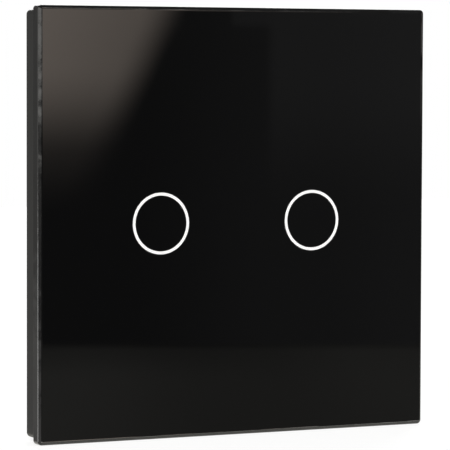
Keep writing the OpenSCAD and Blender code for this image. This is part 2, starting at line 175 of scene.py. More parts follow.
def glassFinish(look):
    finish, sheet = startFinish("panelGlass")
    place = sheet.place()
    across, _, height = place.axes()
    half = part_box("glass_panel")[1].x
    ground = abs(across).most(abs(height)).rise(*[half - inset * mm for inset in look["groundInMm"]])
    smear = sheet.noise(place, look["smearMm"], detail=3.0, rough=0.55).rise(*look["smearRise"])
    wheel = sheet.noise(place, look["wheelMm"], detail=3.0, rough=0.6)
    # the ground edge is never quite even; these heights are in millimetres
    wave = sheet.noise(place, look["waveMm"]) * look["waveDepthMm"] + wheel * look["wheelDepthMm"]
    endFinish(sheet, {"Base Color": sheet.mix(ground, look["face"], look["edge"]),
                      "Roughness": look["polish"] + smear * look["smear"] + ground * (look["ground"] * wheel),
                      "IOR": look["ior"], "Normal": sheet.relief(wave * ground, depthMm=1.0)})
    return finish


# white enamel of the rings, fired into the glass, with a faint painted glow that brightens them though no
# lamp lights them
ringEnamelLook = {"high": (0.96, 0.96, 0.96), "low": (0.92, 0.92, 0.915), "cloudMm": 3.0, "roughness": 0.3,
                  "speckle": 0.15, "speckleMm": 0.25, "depthMm": 0.004, "strength": 0.4, "glow": 0.08}


def enamelFinish(look):
    finish, sheet = startFinish("ringEnamel")
    place = sheet.place()
    speckle = sheet.noise(place, look["speckleMm"], detail=3.0)
    cloud = sheet.noise(place, look["cloudMm"])
    endFinish(sheet, {"Base Color": sheet.mix(cloud, look["low"], look["high"]),
                      "Roughness": look["roughness"] + speckle * look["speckle"],
                      "Normal": sheet.relief(speckle, look["depthMm"], look["strength"]),
                      # painted light: the rings glow faintly on their own, though they are no lamp
                      "Emission Color": (*white, 1.0), "Emission Strength": look["glow"]})
    return finish


# moulded plastics: a spark-eroded grain, a cloudy tone and slightly rubbed high spots
mouldedLook = {"cloudMm": 9.0, "cloudRise": (0.3, 0.7), "rubbedRise": (0.55, 0.8), "gloss": 0.5,
               "strength": 0.8}
framePlasticLook = {"name": "framePlastic", "dark": (0.006, 0.006, 0.0056), "light": (0.0085, 0.0085, 0.008),
                    "grainMm": 0.22, "grainDepthMm": 0.008, "roughLow": 0.26, "roughHigh": 0.38, "gloss": 0.4}
platePlasticLook = {"name": "platePlastic", "dark": (0.066, 0.066, 0.063), "light": (0.082, 0.082, 0.078),
                    "grainMm": 0.3, "grainDepthMm": 0.015, "roughLow": 0.45, "roughHigh": 0.62}
housingPlasticLook = {"name": "housingPlastic", "dark": (0.70, 0.695, 0.66), "light": (0.73, 0.725, 0.69),
                      "grainMm": 0.28, "grainDepthMm": 0.016, "roughLow": 0.38, "roughHigh": 0.55}
terminalPlasticLook = {"name": "terminalPlastic", "dark": (0.022, 0.115, 0.058),
                       "light": (0.03, 0.145, 0.075), "grainMm": 0.2, "grainDepthMm": 0.008,
                       "roughLow": 0.34, "roughHigh": 0.48}
relayPlasticLook = {"name": "relayPlastic", "dark": (0.024, 0.105, 0.27), "light": (0.032, 0.13, 0.32),
                    "grainMm": 0.18, "grainDepthMm": 0.006, "roughLow": 0.3, "roughHigh": 0.45}
chipPlasticLook = {"name": "chipPlastic", "dark": (0.012, 0.012, 0.013), "light": (0.02, 0.02, 0.021),
                   "grainMm": 0.12, "grainDepthMm": 0.01, "roughLow": 0.5, "roughHigh": 0.7}
filmDipLook = {"name": "filmDip", "dark": (0.40, 0.20, 0.025), "light": (0.50, 0.26, 0.035),
               "grainMm": 1.6, "grainDepthMm": 0.02, "roughLow": 0.16, "roughHigh": 0.28}
lampResinLook = {"name": "lampResin", "dark": (0.80, 0.76, 0.52), "light": (0.90, 0.87, 0.66),
                 "grainMm": 0.3, "grainDepthMm": 0.004, "roughLow": 0.15, "roughHigh": 0.25}
tapeFoamLook = {"name": "tapeFoam", "dark": (0.006, 0.006, 0.006), "light": (0.016, 0.016, 0.016),
                "grainMm": 0.15, "grainDepthMm": 0.05, "roughLow": 0.8, "roughHigh": 0.95}
printInkLook = {"name": "printInk", "dark": (0.0025, 0.0025, 0.0027), "light": (0.005, 0.005, 0.0054),
                "grainMm": 0.4, "grainDepthMm": 0.003, "roughLow": 0.25, "roughHigh": 0.38}


def mouldedPlastic(own):
    look = mouldedLook | own
    finish, sheet = startFinish(look["name"])
    place = sheet.place()
    grain = sheet.noise(place, look["grainMm"], detail=4.0, rough=0.6)
    cloud = sheet.noise(place, look["cloudMm"], detail=3.0).rise(*look["cloudRise"])
    rubbed = grain.rise(*look["rubbedRise"])
    endFinish(sheet, {"Base Color": sheet.mix(cloud, look["dark"], look["light"]),
                      "Roughness": look["roughHigh"] - rubbed * (look["roughHigh"] - look["roughLow"]),
                      "Specular IOR Level": look["gloss"],
                      "Normal": sheet.relief(grain, look["grainDepthMm"], look["strength"])})
    return finish


# metals: plated or rolled, with fine drawn lines and a little tarnish
metalLook = {"tarnishMm": 2.2, "tarnishRise": (0.48, 0.78), "lineShare": 0.5, "depthMm": 0.004,
             "strength": 0.5}
zincSteelLook = {"name": "zincSteel", "bright": (0.62, 0.63, 0.64), "dull": (0.42, 0.42, 0.42),
                 "linesMm": 0.12, "drawn": (1.0, 0.12, 1.0), "roughLow": 0.24, "roughHigh": 0.4}
rolledBrassLook = {"name": "rolledBrass", "bright": (0.72, 0.51, 0.20), "dull": (0.48, 0.32, 0.11),
                   "linesMm": 0.15, "drawn": (1.0, 0.2, 1.0), "roughLow": 0.22, "roughHigh": 0.36}
copperStripLook = {"name": "copperStrip", "bright": (0.72, 0.33, 0.18), "dull": (0.42, 0.17, 0.09),
                   "linesMm": 0.15, "drawn": (1.0, 1.0, 0.2), "roughLow": 0.26, "roughHigh": 0.4}


def drawnMetal(own):
    look = metalLook | own
    finish, sheet = startFinish(look["name"])
    place = sheet.place()
    lines = sheet.noise(sheet.stretch(place, look["drawn"]), look["linesMm"])
    dulled = sheet.noise(place, look["tarnishMm"], detail=4.0, rough=0.6).rise(*look["tarnishRise"])
    worn = lines * look["lineShare"] + dulled * (1 - look["lineShare"])
    endFinish(sheet, {"Base Color": sheet.mix(dulled, look["bright"], look["dull"]), "Metallic": 1.0,
                      "Roughness": look["roughLow"] + (look["roughHigh"] - look["roughLow"]) * worn,
                      "Normal": sheet.relief(lines, look["depthMm"], look["strength"])})
    return finish


# solder mask over straight tracks, level in some patches and upright in the others
boardMaskLook = {"mask": (0.012, 0.085, 0.035), "track": (0.026, 0.15, 0.06), "runMm": 1.7,
                 "gapRise": (0.42, 0.48), "patchMm": 6.0, "patchRise": (0.49, 0.51), "roughness": 0.22,
                 "haze": 0.16, "hazeMm": 1.2, "hazeHeight": 0.1, "depthMm": 0.03, "strength": 0.7}


def maskFinish(look):
    finish, sheet = startFinish("boardMask")
    place = sheet.place()
    across, _, height = place.axes()
    run = look["runMm"] * mm
    levelGap, uprightGap = [(way / run).part().rise(*look["gapRise"]) for way in (height, across)]
    patch = sheet.noise(place, look["patchMm"], detail=1.0).rise(*look["patchRise"])
    track = 1 - (levelGap * patch + uprightGap * (1 - patch))
    haze = sheet.noise(place, look["hazeMm"], detail=3.0)
    surface = track + haze * look["hazeHeight"]
    endFinish(sheet, {"Base Color": sheet.mix(track, look["mask"], look["track"]),
                      "Roughness": look["roughness"] + haze * look["haze"],
                      "Normal": sheet.relief(surface, look["depthMm"], look["strength"])})
    return finish


# clear moulded acrylic of the light guides
guideAcrylicLook = {"tint": (0.88, 0.93, 0.94), "milky": (0.80, 0.86, 0.88), "roughness": 0.1, "swirl": 0.12,
                    "swirlMm": 1.6, "ior": 1.49, "clear": 0.75, "depthMm": 0.006, "strength": 0.3}


def acrylicFinish(look):
    finish, sheet = startFinish("guideAcrylic")
    swirl = sheet.noise(sheet.place(), look["swirlMm"], detail=3.0)
    endFinish(sheet, {"Base Color": sheet.mix(swirl, look["tint"], look["milky"]),
                      "Roughness": look["roughness"] + swirl * look["swirl"], "IOR": look["ior"],
                      "Transmission Weight": look["clear"],
                      "Normal": sheet.relief(swirl, look["depthMm"], look["strength"])})
    return finish


# glass fuse tube with nickel caps, told apart by the distance from the middle
fuseTubeLook = {"glass": (0.62, 0.66, 0.64), "cap": (0.60, 0.58, 0.54), "capFromMm": (2.77, 2.8),
                "roughness": 0.06, "capRough": 0.2, "mottle": 0.1, "mottleMm": 0.8, "depthMm": 0.004,
                "strength": 0.4}


def fuseFinish(look):
    finish, sheet = startFinish("fuseTube")
    place = sheet.place()
    across, _, _ = place.axes()
    low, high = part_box("fuse")
    cap = abs(across - (low.x + high.x) / 2).riseMm(*look["capFromMm"])
    mottle = sheet.noise(place, look["mottleMm"], detail=3.0)
    endFinish(sheet, {"Base Color": sheet.mix(cap, look["glass"], look["cap"]), "Metallic": cap,
                      "Roughness": look["roughness"] + cap * look["capRough"] + mottle * look["mottle"],
                      "Normal": sheet.relief(mottle, look["depthMm"], look["strength"])})
    return finish


# capacitor can: dark sleeve, pale stripe down one side, bare aluminium end
canSleeveLook = {"sleeve": (0.016, 0.020, 0.030), "stripe": (0.36, 0.38, 0.40), "bare": (0.72, 0.73, 0.74),
                 "stripeFromMm": (3.05, 3.1), "bareInMm": (0.13, 0.08), "roughness": 0.26, "film": 0.16,
                 "filmMm": 0.9, "depthMm": 0.006, "strength": 0.4}


def sleeveFinish(look):
    finish, sheet = startFinish("canSleeve")
    place = sheet.place()
    across, depth, _ = place.axes()
    low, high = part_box("electrolytic_capacitor")
    stripe = (across - (low.x + high.x) / 2).riseMm(*look["stripeFromMm"])
    bare = depth.rise(*[high.y - inset * mm for inset in look["bareInMm"]])
    film = sheet.noise(place, look["filmMm"], detail=3.0)
    wrapped = sheet.mix(stripe, look["sleeve"], look["stripe"])
    endFinish(sheet, {"Base Color": sheet.mix(bare, wrapped, look["bare"]), "Metallic": bare,
                      "Roughness": look["roughness"] + film * look["film"],
                      "Normal": sheet.relief(film, look["depthMm"], look["strength"])})
    return finish


# enamelled winding: one fine turn of wire beside the next along the bobbin, with painted shade darkening the
# gaps between turns
coilWireLook = {"wire": (0.50, 0.19, 0.08), "gap": (0.14, 0.05, 0.025), "wireMm": 0.22, "gapRise": (0.6, 1.0),
                "metal": 0.6, "roughness": 0.26, "streak": 0.14, "streakMm": 1.1, "depthMm": 0.06,
                "strength": 0.8}


def windingFinish(look):
    finish, sheet = startFinish("coilWire")
    place = sheet.place()
    _, depth, _ = place.axes()
    turn = abs((depth / (look["wireMm"] * mm)).part() * 2 - 1)  # 0 on the wire's crest, 1 in the gap
    streak = sheet.noise(place, look["streakMm"])
    # painted shade: the gap colour darkens the creases between turns
    endFinish(sheet, {"Base Color": sheet.mix(turn.rise(*look["gapRise"]), look["wire"], look["gap"]),
                      "Metallic": look["metal"], "Roughness": look["roughness"] + streak * look["streak"],
                      "Normal": sheet.relief(1 - turn ** 2, look["depthMm"], look["strength"])})
    return finish


framePlastic = mouldedPlastic(framePlasticLook)
platePlastic = mouldedPlastic(platePlasticLook)
housingPlastic = mouldedPlastic(housingPlasticLook)
terminalPlastic = mouldedPlastic(terminalPlasticLook)
relayPlastic = mouldedPlastic(relayPlasticLook)
chipPlastic = mouldedPlastic(chipPlasticLook)
filmDip = mouldedPlastic(filmDipLook)
lampResin = mouldedPlastic(lampResinLook)
tapeFoam = mouldedPlastic(tapeFoamLook)
printInk = mouldedPlastic(printInkLook)
zincSteel = drawnMetal(zincSteelLook)
rolledBrass = drawnMetal(rolledBrassLook)
copperStrip = drawnMetal(copperStripLook)
panelGlass = glassFinish(panelGlassLook)
ringEnamel = enamelFinish(ringEnamelLook)
boardMask = maskFinish(boardMaskLook)
guideAcrylic = acrylicFinish(guideAcrylicLook)
fuseTube = fuseFinish(fuseTubeLook)
canSleeve = sleeveFinish(canSleeveLook)
coilWire = windingFinish(coilWireLook)
print("finishes made,", len(bpy.data.materials), "in all")


def linked(name, data):
    made = bpy.data.objects.new(name, data)
    bpy.context.scene.collection.objects.link(made)
    return made


def addPiece(name, mesh, finish, node):
    piece = linked(name, mesh)
    mesh.materials.clear()
    mesh.materials.append(finish)
    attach(piece, bodyOf[node])
    return piece


def finalMesh(holder):  # what an object's modifiers give, as a plain mesh
    return bpy.data.meshes.new_from_object(holder.evaluated_get(bpy.context.evaluated_depsgraph_get()))


# what counts as one point, as flat and as sharp, and how long an edge has to be against its rounding
easing = {"joinMm": 0.001, "flatDeg": 0.5, "sharpDeg": 35, "leastLength": 1.2, "flatWeight": 100}


def wholeFaces(mesh):  # loose triangles joined into whole faces
    shape = bmesh.new()
    shape.from_mesh(mesh)
    bmesh.ops.remove_doubles(shape, verts=shape.verts, dist=easing["joinMm"] * mm)
    bmesh.ops.dissolve_limit(shape, angle_limit=math.radians(easing["flatDeg"]), verts=shape.verts,
                             edges=shape.edges)
    return shape


def easedMesh(shape, name, edgeMm, segments=2, share=None):  # rounds the sharp edges
    shares = shape.edges.layers.float.new("bevel_weight_edge")
    for face in shape.faces:
        face.smooth = True
    for edge in shape.edges:
        if len(edge.link_faces) == 2 and edge.calc_face_angle(0.0) > math.radians(easing["sharpDeg"]):
            part = share((edge.verts[0].co + edge.verts[1].co) / 2) if share else 1.0
            if edge.calc_length() > easing["leastLength"] * edgeMm * part * mm:
                edge[shares] = part
            else:
                edge.smooth = False  # too short to round, so it stays sharp
    mesh = bpy.data.meshes.new(name)
    shape.to_mesh(mesh)
    shape.free()
    holder = linked(name + "Holder", mesh)
    rounding = holder.modifiers.new("rounding", "BEVEL")
    rounding.width, rounding.segments = edgeMm * mm, segments
    rounding.limit_method, rounding.use_clamp_overlap = "WEIGHT", False
    flat = holder.modifiers.new("flat", "WEIGHTED_NORMAL")  # keeps the broad faces flat
    flat.mode, flat.weight, flat.keep_sharp = "FACE_AREA", easing["flatWeight"], True
    eased = finalMesh(holder)
    bpy.data.objects.remove(holder)
    bpy.data.meshes.remove(mesh)
    eased.name = name
    return eased


def easedPiece(node, finish, look):
    mesh = easedMesh(wholeFaces(nodes[node].data), node + "_eased", look["edgeMm"], look["segments"])
    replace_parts(addPiece(node + "_eased", mesh, finish, node), node)


def startTree(name, inputs):
    tree = bpy.data.node_groups.new(name, "GeometryNodeTree")
    for label, kind in inputs.items():
        tree.interface.new_socket(name=label, in_out="INPUT", socket_type="NodeSocket" + kind)
    tree.interface.new_socket(name="Finish", in_out="INPUT", socket_type="NodeSocketMaterial")
    tree.interface.new_socket(name="Geometry", in_out="OUTPUT", socket_type="NodeSocketGeometry")
    return NodeSheet(tree)


def endTree(sheet, shape):
    whole = sheet.add("GeometryNodeRealizeInstances", None, {"Geometry": shape})
    painted = sheet.add("GeometryNodeSetMaterial", None,
                        {"Geometry": whole, "Material": sheet.given("Finish")})
    sheet.add("NodeGroupOutput", None, {"Geometry": painted})
    return sheet.tree


def woundWireTree():  # wire wound round the Y axis: springs and screw threads
    sheet = startTree("woundWire", {"Turns": "Float", "Radius": "Float", "Length": "Float",
                                    "Wire Radius": "Float", "Steps": "Int", "Facets": "Int",
                                    "Start": "Vector"})
    radius = sheet.given("Radius")
    path = sheet.add("GeometryNodeCurveSpiral", None,
                     {"Resolution": sheet.given("Steps"), "Rotations": sheet.given("Turns"),
                      "Start Radius": radius, "End Radius": radius, "Height": sheet.given("Length"),
                      "Reverse": True})
    upright = sheet.add("GeometryNodeSetCurveNormal", {"mode": "Z_UP"}, {"Curve": path})
    section = sheet.add("GeometryNodeCurvePrimitiveCircle", {"mode": "RADIUS"},
                        {"Resolution": sheet.given("Facets"), "Radius": sheet.given("Wire Radius")})
    wire = sheet.add("GeometryNodeCurveToMesh", None,
                     {"Curve": upright, "Profile Curve": section, "Fill Caps": True})
    return endTree(sheet, sheet.add("GeometryNodeTransform", None, {
        "Geometry": wire, "Translation": sheet.given("Start"), "Rotation": (-math.pi / 2, 0.0, 0.0)}))


def sunkRowTree():  # a row of rounded plugs: what is sunk into a face
    sheet = startTree("sunkRow", {"Count": "Int", "Pitch": "Float", "Width": "Float", "Height": "Float",
                                  "Corner": "Float", "Corner Steps": "Int", "Depth": "Float",
                                  "Start": "Vector", "Turn": "Vector"})
    outline = sheet.add("GeometryNodeCurvePrimitiveQuadrilateral", None,
                        {"Width": sheet.given("Width"), "Height": sheet.given("Height")})
    rounded = sheet.add("GeometryNodeFilletCurve", {"mode": "POLY"},
                        {"Curve": outline, "Radius": sheet.given("Corner"),
                         "Count": sheet.given("Corner Steps"), "Limit Radius": True})
    inward = sheet.add("ShaderNodeCombineXYZ", None, {"Z": sheet.given("Depth")})
    path = sheet.add("GeometryNodeCurvePrimitiveLine", None, {"Start": (0.0, 0.0, 0.0), "End": inward})
    plug = sheet.add("GeometryNodeCurveToMesh", None,
                     {"Curve": path, "Profile Curve": rounded, "Fill Caps": True})
    step = sheet.add("ShaderNodeCombineXYZ", None, {"X": sheet.given("Pitch")})
    spots = sheet.add("GeometryNodeMeshLine", None, {"Count": sheet.given("Count"), "Offset": step})
    row = sheet.add("GeometryNodeInstanceOnPoints", None, {"Points": spots, "Instance": plug})
    return endTree(sheet, sheet.add("GeometryNodeTransform", None, {
        "Geometry": row, "Translation": sheet.given("Start"), "Rotation": sheet.given("Turn")}))


woundWire = woundWireTree()
sunkRow = sunkRowTree()


def treeMesh(name, tree, inputs, sharpDeg=50):  # what a geometry tree gives, as a plain mesh
    holder = linked(name + "Holder", bpy.data.meshes.new(name + "Holder"))
    modifier = holder.modifiers.new("tree", "NODES")
    modifier.node_group = tree
    for item in tree.interface.items_tree:
        if item.in_out == "INPUT":
            modifier[item.identifier] = inputs[item.name]
    mesh = finalMesh(holder)
    holder.modifiers.clear()
    bpy.data.objects.remove(holder)
    mesh.name = name
    shape = bmesh.new()
    shape.from_mesh(mesh)
    bmesh.ops.recalc_face_normals(shape, faces=shape.faces)
    shape.to_mesh(mesh)
    shape.free()
    mesh.shade_smooth()
    mesh.set_sharp_from_angle(angle=math.radians(sharpDeg))
    return mesh


# glass panel: its edge profile is led round the four corners, so that both arrises are truly round
glassEdge = {"bevelMm": 0.6, "sideArrisMm": 0.18, "faceArrisMm": 0.25, "backArrisMm": 0.12, "cornerMm": 0.85,
             "leastCornerMm": 0.03, "cornerSteps": 8, "arrisSteps": 6, "ringLineMm": 0.6, "ringSteps": 96}


def glassProfile(look, low, high):  # inset, depth and lean of the normal, from the back edge to the face
    rows = []
    back, front = high.y, low.y
    bevel, corner = look["bevelMm"] * mm, look["backArrisMm"] * mm
    # radii of the two front arrises, from how far before its 45 degree corner each begins
    side, face = [look[name] * mm / math.tan(math.radians(45 / 2)) for name in ("sideArrisMm", "faceArrisMm")]
    for centre, radius, fromDeg, toDeg in (
            ((corner, back - corner), corner, 180, 90),
            ((side, front + bevel + look["sideArrisMm"] * mm), side, 90, 45),
            ((bevel + look["faceArrisMm"] * mm, front + face), face, 45, 0)):
        for step in range(look["arrisSteps"] + 1):
            lean = math.radians(fromDeg + (toDeg - fromDeg) * step / look["arrisSteps"])
            rows.append((centre[0] - radius * math.sin(lean), centre[1] - radius * math.cos(lean), lean))
    return rows


def glassLoop(look, half, inset, depth, lean):  # one turn round the panel: points and their normals
    radius = max(look["cornerMm"] * mm - inset, look["leastCornerMm"] * mm)
    reach = half - inset - radius
    steps = look["cornerSteps"]
    points, normals = [], []
    for quarter, (sideX, sideZ) in enumerate(((1, 1), (-1, 1), (-1, -1), (1, -1))):
        if quarter % 2 == 0:  # half-way up the right side and the left, where the face is cut in two
            points.append((sideX * (half - inset), depth, 0.0))
            normals.append((sideX * math.sin(lean), -math.cos(lean), 0.0))
        for step in range(steps + 1):
            turn = math.radians(90 * (quarter + step / steps))
            outX, outZ = math.cos(turn), math.sin(turn)
            points.append((sideX * reach + radius * outX, depth, sideZ * reach + radius * outZ))
            normals.append((outX * math.sin(lean), -math.cos(lean), outZ * math.sin(lean)))
    return points, normals


def glassPanel(look):
    low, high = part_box("glass_panel")
    front, rear = (0.0, -1.0, 0.0), (0.0, 1.0, 0.0)
    points, normals, faces, faceNormals = [], [], [], []

    def put(corners, lean=None):  # a face, with one normal for all its corners or each corner's own
        faces.append(corners)
        faceNormals.append([lean or normals[i] for i in corners])

    def band(start, count, lean=None):  # the faces between one loop of points and the next
        for i in range(count):
            j = (i + 1) % count
            put((start + i, start + j, start + count + j, start + count + i), lean)

    for row in glassProfile(look, low, high):
        loop, leans = glassLoop(look, (high.x - low.x) / 2, *row)
        points += loop
        normals += leans
    count = len(loop)
    for start in range(0, len(points) - count, count):
        band(start, count)
    put(tuple(reversed(range(count))), rear)
    rim = range(len(points) - count, len(points))
    steps = look["ringSteps"]
    rings = []
    for side in sides:
        ringLow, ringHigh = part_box("touch_ring_" + side)
        middle, outer = (ringLow.x + ringHigh.x) / 2, (ringHigh.x - ringLow.x) / 2
        inner, floor = outer - look["ringLineMm"] * mm, ringHigh.y
        first = len(points)
        for radius, depth, inward in (
                (outer, low.y, -1), (outer, floor, -1), (inner, floor, 1), (inner, low.y, 1)):
            for k in range(steps):
                turn = 2 * math.pi * k / steps
                points.append((middle + radius * math.cos(turn), depth, radius * math.sin(turn)))
                normals.append((inward * math.cos(turn), 0.0, inward * math.sin(turn)))
        for ring, lean in enumerate((None, front, None)):  # the groove: wall, floor, wall
            band(first + ring * steps, steps, lean)
        put(tuple(range(first + 3 * steps, first + 4 * steps)), front)
        rings.append(range(first, first + steps))
    left, right = rings
    half = steps // 2  # the face round the rings is cut in two along their middles
    put((*rim[:count // 2 + 1], *left[half::-1], *right[half::-1]), front)
    put((*rim[count // 2:], rim[0], right[0], *right[:half - 1:-1], left[0], *left[:half - 1:-1]), front)
    mesh = bpy.data.meshes.new("glass_panel_ground")
    mesh.from_pydata(points, [], faces)
    mesh.shade_smooth()
    mesh.normals_split_custom_set([lean for leans in faceNormals for lean in leans])
    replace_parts(addPiece("glass_panel_ground", mesh, panelGlass, "glass_panel"), "glass_panel")


glassPanel(glassEdge)

# touch rings
ringEdge = {"edgeMm": 0.02, "segments": 1}
for side in sides:
    easedPiece("touch_ring_" + side, ringEnamel, ringEdge)

# cover frame: its four outer corners are rounder than the other edges
frameEdge = {"cornerMm": 0.95, "cornerSteps": 6, "edgeMm": 0.14, "segments": 3, "nearMm": 0.05}


def coverFrame(look):
    shape = wholeFaces(nodes["cover_frame"].data)
    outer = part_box("cover_frame")[1].x - look["nearMm"] * mm
    middles = {edge: (edge.verts[0].co + edge.verts[1].co) / 2 for edge in shape.edges}
    corners = [edge for edge, middle in middles.items() if min(abs(middle.x), abs(middle.z)) > outer]
    bmesh.ops.bevel(shape, geom=corners, offset=look["cornerMm"] * mm, segments=look["cornerSteps"],
                    profile=0.5, affect="EDGES", clamp_overlap=False)
    mesh = easedMesh(shape, "cover_frame_eased", look["edgeMm"], look["segments"])
    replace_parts(addPiece("cover_frame_eased", mesh, framePlastic, "cover_frame"), "cover_frame")


coverFrame(frameEdge)
print("front cover made")

# wall plate
plateEdge = {"edgeMm": 0.15, "segments": 2}
easedPiece("wall_plate", platePlastic, plateEdge)

# housing: rounded outside, with air slots over the relays and a bare sunk field for a label
housingEdge = {"outsideMm": 0.7, "edgeShare": 0.2, "segments": 4, "nearMm": 0.01, "clearMm": 0.2,
               "cornerSteps": 6}
airSlots = {"count": 9, "pitchMm": 4.0, "widthMm": 1.4, "cornerMm": 0.65, "depthMm": 0.9}
housingSunk = {"backSlots": airSlots | {"heightMm": 8.0, "face": "back", "middleMm": 20.0},
               "topSlots": airSlots | {"heightMm": 9.0, "face": "top", "middleMm": 16.0},
               "labelField": {"count": 1, "pitchMm": 0.0, "widthMm": 40.0, "heightMm": 20.0, "cornerMm": 1.5,
                              "depthMm": 0.3, "face": "back", "middleMm": 0.0}}


def sunkPlug(name, look, shell, high):  # stands clear of the face that it is cut into
    clear = shell["clearMm"] * mm
    first = -look["pitchMm"] * mm * (look["count"] - 1) / 2
    middle = look["middleMm"] * mm
    start, turn = {"back": ((first, high.y + clear, middle), math.pi / 2),
                   "top": ((first, middle, high.z + clear), math.pi)}[look["face"]]
    return treeMesh(name, sunkRow, {
        "Count": look["count"], "Pitch": look["pitchMm"] * mm, "Width": look["widthMm"] * mm,
        "Height": look["heightMm"] * mm, "Corner": look["cornerMm"] * mm,
        "Corner Steps": shell["cornerSteps"], "Depth": look["depthMm"] * mm + clear, "Start": start,
        "Turn": (turn, 0.0, 0.0), "Finish": housingPlastic})


def housingShell(look, sunk):
    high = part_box("rear_housing")[1]
    mesh = bpy.data.meshes.new("housingBlank")
    shape = wholeFaces(nodes["rear_housing"].data)
    shape.to_mesh(mesh)
    shape.free()
    blank = linked("housingBlank", mesh)
    plugs = []
    for name, settings in sunk.items():
        plug = linked(name, sunkPlug(name, settings, look, high))
        cut = blank.modifiers.new(name, "BOOLEAN")
        cut.operation, cut.solver, cut.object = "DIFFERENCE", "EXACT", plug
        plugs.append(plug)
    carved = finalMesh(blank)
    for spare in [blank] + plugs:
        bpy.data.objects.remove(spare)

    def outside(place):  # the long outer edges are rounder than the rest
        gaps = (abs(abs(place.x) - high.x), high.z - place.z, high.y - place.y)
        return 1.0 if sum(gap < look["nearMm"] * mm for gap in gaps) > 1 else look["edgeShare"]

    mesh = easedMesh(wholeFaces(carved), "rear_housing_eased", look["outsideMm"], look["segments"], outside)
    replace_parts(addPiece("rear_housing_eased", mesh, housingPlastic, "rear_housing"), "rear_housing")


housingShell(housingEdge, housingSunk)

# terminal modules and their screws
moduleEdge = {"edgeMm": 0.35, "segments": 3}
terminalScrewEdge = {"edgeMm": 0.14, "segments": 2}
housingScrewEdge = {"edgeMm": 0.16, "segments": 2}
for pole in poles:
    easedPiece(f"terminal_block_{pole}", terminalPlastic, moduleEdge)
    easedPiece(f"terminal_screw_{pole}", zincSteel, terminalScrewEdge)
easedPiece("housing_screws", zincSteel, housingScrewEdge)
print("wall plate, housing and terminals made")

# fixing screws: the CAD shank drawn in to the thread root, with the ridge wound on it
fixingThread = {"shankMm": 1.5, "rootMm": 1.40, "tipMm": 0.9, "crestMm": 1.74, "pitchMm": 0.6, "leadMm": 1.0,
                "steps": 28, "facets": 4, "edgeMm": 0.15, "nearMm": 0.01}


def fixingScrew(side, look):
    node = "fixing_screw_" + side
    low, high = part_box(node)
    middle = (low + high) / 2
    near = look["nearMm"] * mm
    shape = wholeFaces(nodes[node].data)
    # behind the wall plane, what lies farther out than shankMm is the shank's surface
    for vert in shape.verts:
        spoke = Vector((vert.co.x - middle.x, vert.co.z - middle.z))
        if vert.co.y > -near and spoke.length > look["shankMm"] * mm:
            tip = vert.co.y > high.y - near
            spoke *= look["tipMm" if tip else "rootMm"] * mm / spoke.length
            vert.co.x, vert.co.z = middle.x + spoke.x, middle.z + spoke.y
    screw = addPiece(node + "_eased", easedMesh(shape, node + "_eased", look["edgeMm"]), zincSteel, node)
    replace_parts(screw, node)
    wire = (look["crestMm"] - look["rootMm"]) * mm
    length = high.y - 2 * look["leadMm"] * mm
    mesh = treeMesh(node + "_thread", woundWire, {
        "Turns": length / (look["pitchMm"] * mm), "Radius": look["crestMm"] * mm - wire, "Length": length,
        "Wire Radius": wire, "Steps": look["steps"], "Facets": look["facets"],
        "Start": (middle.x, look["leadMm"] * mm, middle.z), "Finish": zincSteel})
    addPiece(node + "_thread", mesh, zincSteel, node)


for side in sides:
    fixingScrew(side, fixingThread)
print("fixing screws made")

# touch springs, rounder wire than the solid has
touchSpring = {"turns": 5, "wireMm": 0.3, "steps": 64, "facets": 14}


def springPiece(side, look):
    node = "touch_spring_" + side
    low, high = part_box(node)
    wire = look["wireMm"] * mm
    mesh = treeMesh(node + "_wound", woundWire, {
        "Turns": look["turns"], "Radius": (high.x - low.x) / 2 - wire, "Length": high.y - low.y - 2 * wire,
        "Wire Radius": wire, "Steps": look["steps"], "Facets": look["facets"],
        "Start": ((low.x + high.x) / 2, low.y + wire, 0.0), "Finish": rolledBrass})
    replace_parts(addPiece(node + "_wound", mesh, rolledBrass, node), node)


for side in sides:
    springPiece(side, touchSpring)
print("touch springs made")

# what stands on the boards
guideEdge = {"edgeMm": 0.08, "segments": 2}
relayCaseEdge = {"edgeMm": 0.3, "segments": 3}
filmEdge = {"edgeMm": 0.7, "segments": 4}
canEdge = {"edgeMm": 0.12, "segments": 2}
rectifierEdge = {"edgeMm": 0.2, "segments": 2}
for side in sides:
    easedPiece("light_guide_" + side, guideAcrylic, guideEdge)
    easedPiece("relay_case_" + side, relayPlastic, relayCaseEdge)
easedPiece("film_capacitor", filmDip, filmEdge)
easedPiece("electrolytic_capacitor", canSleeve, canEdge)
easedPiece("rectifier", chipPlastic, rectifierEdge)

# nodes whose shape is right already
keptNodes = {"back_print": printInk, "adhesive_frame": tapeFoam, "control_board": boardMask,
             "power_board": boardMask, "indicator_lamps": lampResin, "controller_chip": chipPlastic,
             "header_strip": chipPlastic, "header_pins": rolledBrass, "board_spacers": housingPlastic,
             "board_screws": zincSteel, "terminal_bars": copperStrip, "fuse": fuseTube}
for pole in poles:
    keptNodes[f"terminal_cage_{pole}"] = rolledBrass
for side in sides:
    keptNodes["relay_base_" + side] = chipPlastic
    keptNodes["relay_coil_" + side] = coilWire
    keptNodes["relay_yoke_" + side] = zincSteel
    keptNodes["relay_contact_" + side] = rolledBrass
    keptNodes["relay_armature_" + side] = zincSteel
for node, finish in keptNodes.items():
    for row in nodes[node].material_slots:
        row.material = finish
print("boards dressed,", len(keptNodes), "nodes kept as they are")

# camera where the photograph was taken from
cameraPlace = {"place": (-0.25459, -0.52644, 0.03047), "yawDeg": -25.939, "pitchDeg": -3.088,
               "rollDeg": -0.169, "lens": 230.01, "sensor": 36.0, "nearest": 0.01, "farthest": 20.0}


